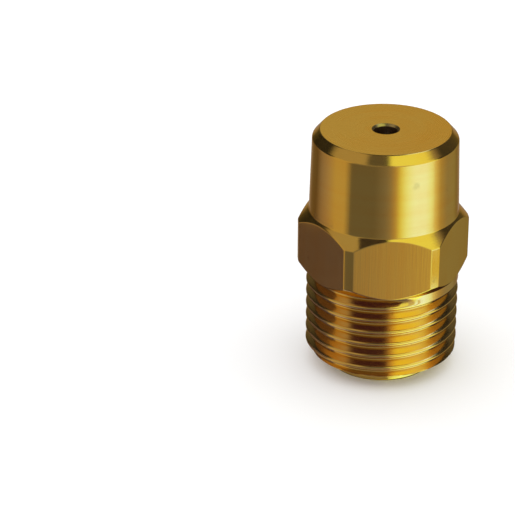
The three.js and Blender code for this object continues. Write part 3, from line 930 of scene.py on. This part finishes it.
def world_light():
    """Soft studio surroundings as the brass sees them: bright screens and dark gaps round the object.

    What lights the floor and shows behind it is plain white.
    """
    world = bpy.data.worlds.new("studio")
    bpy.context.scene.world = world
    world.use_nodes = True
    tree = world.node_tree
    tree.nodes.clear()
    direction = node(tree, "ShaderNodeTexCoord").outputs["Generated"]
    parts = node(tree, "ShaderNodeSeparateXYZ", {"Vector": direction}).outputs
    front = math.radians(-90 + CAMERA_AZIMUTH)
    turned_x = add(tree, times(tree, parts["X"], math.cos(front)), times(tree, parts["Y"], math.sin(front)))
    turned_y = add(tree, times(tree, parts["X"], -math.sin(front)), times(tree, parts["Y"], math.cos(front)))
    turn = math_node(tree, "ARCTAN2", turned_y, turned_x)
    place = add(tree, math_node(tree, "DIVIDE", turn, TAU), 0.5)
    sine = parts["Z"]
    colour = GROUND
    for start, full, layer in LAYERS:
        layer_colour = ramp(tree, place, [(degrees / 360 + 0.5, shade) for degrees, shade in layer])
        colour = mix_colour(tree, smooth_between(tree, sine, start, full), colour, layer_colour)
    colour = mix_colour(tree, smooth_between(tree, sine, CEILING_FROM, CEILING_FULL), colour, CEILING)
    rays = node(tree, "ShaderNodeLightPath").outputs
    seen = mix_colour(tree, rays["Is Glossy Ray"], PLAIN_WHITE, colour)
    background = node(tree, "ShaderNodeBackground", {"Color": seen, "Strength": 1.0})
    output = node(tree, "ShaderNodeOutputWorld")
    tree.links.new(background.outputs[0], output.inputs["Surface"])


def floor_disc():
    """A white floor that the brass doesn't mirror."""
    points = [(0, -FLOOR_THICKNESS), (FLOOR_R, -FLOOR_THICKNESS), (FLOOR_R, 0), (0, 0)]
    material, principled = shader("floor_paper")
    principled.inputs["Base Color"].default_value = (0.9, 0.9, 0.9, 1)
    principled.inputs["Roughness"].default_value = 0.9
    floor = lathe("floor", points, [material], segments=96, edge=0.5)
    floor.visible_glossy = False


def card(name, corners, colour):
    """A card seen only as a reflection. Its corners are (right, towards the camera, up)."""
    azimuth = math.radians(CAMERA_AZIMUTH)
    right = Vector((math.cos(azimuth), math.sin(azimuth), 0))
    nearer = Vector((math.sin(azimuth), -math.cos(azimuth), 0))
    places = [right * x + nearer * y + Vector((0, 0, z)) for x, y, z in corners]
    material, principled = shader(name + "_paper")
    principled.inputs["Base Color"].default_value = (*colour, 1)
    principled.inputs["Roughness"].default_value = 1.0
    piece = make_object(name, places, [tuple(range(len(places)))], [material])
    piece.visible_camera = piece.visible_diffuse = piece.visible_shadow = piece.visible_transmission = False


def sector_corners(inner_r, outer_r, start, end, height):
    """Corners of a level ring sector, from start to end degrees to the right of the camera's side."""
    angles = np.radians(np.linspace(start, end, 7))
    ring = [(inner_r, a) for a in angles] + [(outer_r, a) for a in angles[::-1]]
    return [(r * math.sin(a), r * math.cos(a), height) for r, a in ring]


def wall_corners(x, near, far, low, high):
    """Corners of an upright card at x, between two distances towards the camera and two heights."""
    return [(x, near, low), (x, far, low), (x, far, high), (x, near, high)]


def level_corners(left, right, far, near, height):
    """Corners of a level card, between two distances towards the camera."""
    return [(left, far, height), (right, far, height), (right, near, height), (left, near, height)]


def cards():
    """Cards for single surfaces: the left flat, the corner right of the front flat, the hexagon's upper
    chamfer, and the thread's lowest turns with two cards on the floor round them."""
    card("left_card", wall_corners(-23, 9.5, -8, 0.1, 16), (0.153, 0.128, 0.25))
    card("corner_card", sector_corners(42, 57, 38, 86, 0.1), (0.59, 0.57, 0.17))
    card("chamfer_card", level_corners(-9.1, 1.8, 14, 21, 34), (0.036, 0.027, 0.045))
    card("base_card", sector_corners(7.7, 12.4, -110, 10, 0.06), (0.48, 0.44, 0.50))
    card("base_edge_card", sector_corners(12.4, 14.2, -70, 10, 0.06), (0.18, 0.15, 0.22))


def camera():
    """A long lens looking down on the nozzle, which stands right of the frame's middle."""
    elevation = math.radians(CAMERA_ELEVATION)
    azimuth = math.radians(CAMERA_AZIMUTH)
    target = Vector((0, 0, TARGET_Z))
    away = Vector((math.sin(azimuth) * math.cos(elevation), -math.cos(azimuth) * math.cos(elevation),
                   math.sin(elevation)))
    right = Vector((math.cos(azimuth), math.sin(azimuth), 0))
    up = away.cross(right)
    place = target + away * CAMERA_DISTANCE
    aim = target - AIM_LEFT * right - AIM_BELOW * up
    data = bpy.data.cameras.new("camera")
    data.lens = CAMERA_LENS
    data.sensor_width = 36
    data.clip_start = 0.01
    new = bpy.data.objects.new("camera", data)
    new.location = place * MM
    new.rotation_euler = (aim - place).to_track_quat("-Z", "Y").to_euler()
    bpy.context.scene.collection.objects.link(new)
    bpy.context.scene.camera = new


world_light()
floor_disc()
cards()
camera()
bpy.context.scene.view_settings.view_transform = "Standard"
